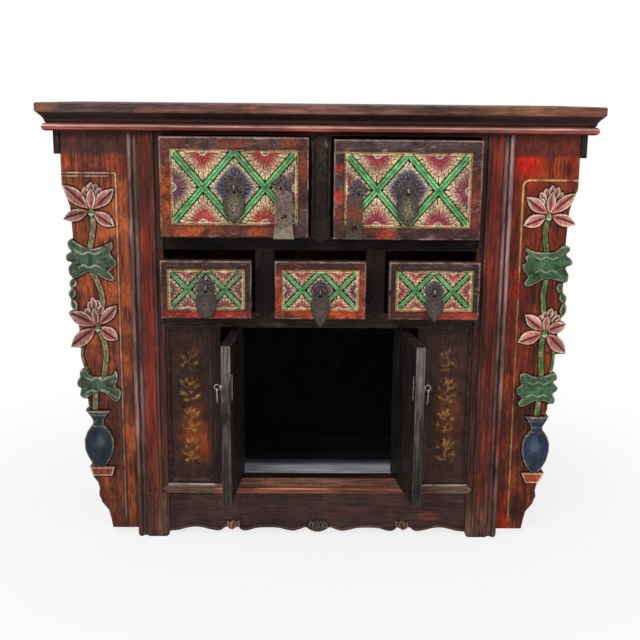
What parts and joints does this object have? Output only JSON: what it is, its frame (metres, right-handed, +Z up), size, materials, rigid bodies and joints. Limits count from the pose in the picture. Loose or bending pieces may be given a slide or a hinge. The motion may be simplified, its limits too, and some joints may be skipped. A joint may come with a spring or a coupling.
{
  "type": "tea cabinet",
  "caption": "Low carved and lacquered wooden tea cabinet with large drawers over small ones, a cupboard with pivoted doors, carved lotus wings and hanging iron pulls and hasps.",
  "frame": {"origin": "centre of the bounding box at floor level, with the drawers and doors open as in the picture", "axes": "+X to the right seen from the front, +Y towards the back, +Z up"},
  "size_m": [1.056, 0.5188, 0.865],
  "materials": {
    "dark_top": "worn dark lacquer",
    "black_lacquer": "near-black lacquer",
    "red_lacquer": "worn red lacquer",
    "brown_lacquer": "worn maroon-brown lacquer",
    "carved_red": "carved and painted, worn",
    "carved_green": "carved and painted, worn",
    "bare_wood": "unfinished, darkened by age",
    "dark_iron": "forged, dark patina"
  },
  "bodies": {
    "case": {"top_board": "dark_top", "top_moulding": "black_lacquer", "top_rail": "red_lacquer", "upper_rail": "red_lacquer", "middle_rail": "red_lacquer", "bottom_rail": "red_lacquer", "apron": "brown_lacquer", "centre_divider": "brown_lacquer", "small_divider_left": "brown_lacquer", "small_divider_right": "brown_lacquer", "back_panel": "bare_wood", "cabinet_floor": "bare_wood", "lower_shelf": "bare_wood", "upper_shelf": "bare_wood", "front_post_left": "red_lacquer", "front_post_right": "red_lacquer", "back_post_left": "brown_lacquer", "back_post_right": "brown_lacquer", "side_panel_left": "brown_lacquer", "side_panel_right": "brown_lacquer", "side_rail_left": "bare_wood", "side_rail_right": "bare_wood", "door_stile_left": "brown_lacquer", "door_stile_right": "brown_lacquer", "fixed_panel_left": "brown_lacquer", "fixed_panel_right": "brown_lacquer", "wing_left": "carved_red", "wing_right": "carved_red", "end_board_left": "black_lacquer", "end_board_right": "black_lacquer"},
    "large_drawer_left": {"drawer_front_upper_left": "carved_green", "drawer_box_upper_left": "bare_wood", "pull_mount_upper_left": "dark_iron", "hasp_mount_upper_left": "dark_iron"},
    "large_drawer_right": {"drawer_front_upper_right": "carved_green", "drawer_box_upper_right": "bare_wood", "pull_mount_upper_right": "dark_iron", "hasp_mount_upper_right": "dark_iron"},
    "small_drawer_left": {"drawer_front_lower_left": "carved_green", "drawer_box_lower_left": "bare_wood", "pull_mount_lower_left": "dark_iron"},
    "small_drawer_middle": {"drawer_front_lower_middle": "carved_green", "drawer_box_lower_middle": "bare_wood", "pull_mount_lower_middle": "dark_iron"},
    "small_drawer_right": {"drawer_front_lower_right": "carved_green", "drawer_box_lower_right": "bare_wood", "pull_mount_lower_right": "dark_iron"},
    "large_pull_left": {"pull_drop_upper_left": "dark_iron"},
    "large_pull_right": {"pull_drop_upper_right": "dark_iron"},
    "small_pull_left": {"pull_drop_lower_left": "dark_iron"},
    "small_pull_middle": {"pull_drop_lower_middle": "dark_iron"},
    "small_pull_right": {"pull_drop_lower_right": "dark_iron"},
    "hasp_left": {"hasp_strap_upper_left": "dark_iron"},
    "hasp_right": {"hasp_strap_upper_right": "dark_iron"},
    "left_door": {"door_left": "brown_lacquer", "door_pull_mount_left": "dark_iron"},
    "right_door": {"door_right": "brown_lacquer", "door_pull_mount_right": "dark_iron"},
    "left_door_pull": {"door_pull_drop_left": "dark_iron"},
    "right_door_pull": {"door_pull_drop_right": "dark_iron"}
  },
  "joints": [
    {"name": "large_drawer_left_slide", "type": "slide", "parent": "case", "child": "large_drawer_left", "axis": [0, -1, 0], "range_m": [-0.045, 0.2]},
    {"name": "large_drawer_right_slide", "type": "slide", "parent": "case", "child": "large_drawer_right", "axis": [0, -1, 0], "range_m": [-0.045, 0.2]},
    {"name": "small_drawer_left_slide", "type": "slide", "parent": "case", "child": "small_drawer_left", "axis": [0, -1, 0], "range_m": [-0.065, 0.18]},
    {"name": "small_drawer_middle_slide", "type": "slide", "parent": "case", "child": "small_drawer_middle", "axis": [0, -1, 0], "range_m": [-0.065, 0.18]},
    {"name": "small_drawer_right_slide", "type": "slide", "parent": "case", "child": "small_drawer_right", "axis": [0, -1, 0], "range_m": [-0.065, 0.18]},
    {"name": "large_pull_left_swing", "type": "hinge", "parent": "large_drawer_left", "child": "large_pull_left", "pos_m": [-0.161, -0.16195, 0.7121], "axis": [-1, 0, 0], "range_deg": [0, 85]},
    {"name": "large_pull_right_swing", "type": "hinge", "parent": "large_drawer_right", "child": "large_pull_right", "pos_m": [0.161, -0.16195, 0.7091], "axis": [-1, 0, 0], "range_deg": [0, 85]},
    {"name": "small_pull_left_swing", "type": "hinge", "parent": "small_drawer_left", "child": "small_pull_left", "pos_m": [-0.21375, -0.18195, 0.5291], "axis": [-1, 0, 0], "range_deg": [0, 85]},
    {"name": "small_pull_middle_swing", "type": "hinge", "parent": "small_drawer_middle", "child": "small_pull_middle", "pos_m": [0, -0.18195, 0.5211], "axis": [-1, 0, 0], "range_deg": [0, 85]},
    {"name": "small_pull_right_swing", "type": "hinge", "parent": "small_drawer_right", "child": "small_pull_right", "pos_m": [0.21375, -0.18195, 0.5231], "axis": [-1, 0, 0], "range_deg": [0, 85]},
    {"name": "hasp_left_swing", "type": "hinge", "parent": "large_drawer_left", "child": "hasp_left", "pos_m": [-0.074, -0.16595, 0.714], "axis": [0, -1, 0], "range_deg": [-15, 90]},
    {"name": "hasp_right_swing", "type": "hinge", "parent": "large_drawer_right", "child": "hasp_right", "pos_m": [0.069, -0.16195, 0.705], "axis": [0, 1, 0], "range_deg": [-15, 90]},
    {"name": "left_door_hinge", "type": "hinge", "parent": "case", "child": "left_door", "pos_m": [-0.161, -0.09915, 0.1], "axis": [0, 0, -1], "range_deg": [-94, 40]},
    {"name": "right_door_hinge", "type": "hinge", "parent": "case", "child": "right_door", "pos_m": [0.161, -0.09915, 0.1], "axis": [0, 0, 1], "range_deg": [-98, 36]},
    {"name": "left_door_pull_swing", "type": "hinge", "parent": "left_door", "child": "left_door_pull", "pos_m": [-0.18858, -0.24558, 0.3551], "axis": [0.0698, 0.9976, 0], "range_deg": [0, 85]},
    {"name": "right_door_pull_swing", "type": "hinge", "parent": "right_door", "child": "right_door_pull", "pos_m": [0.19873, -0.2433, 0.3551], "axis": [0.1392, -0.9903, 0], "range_deg": [0, 85]}
  ]
}
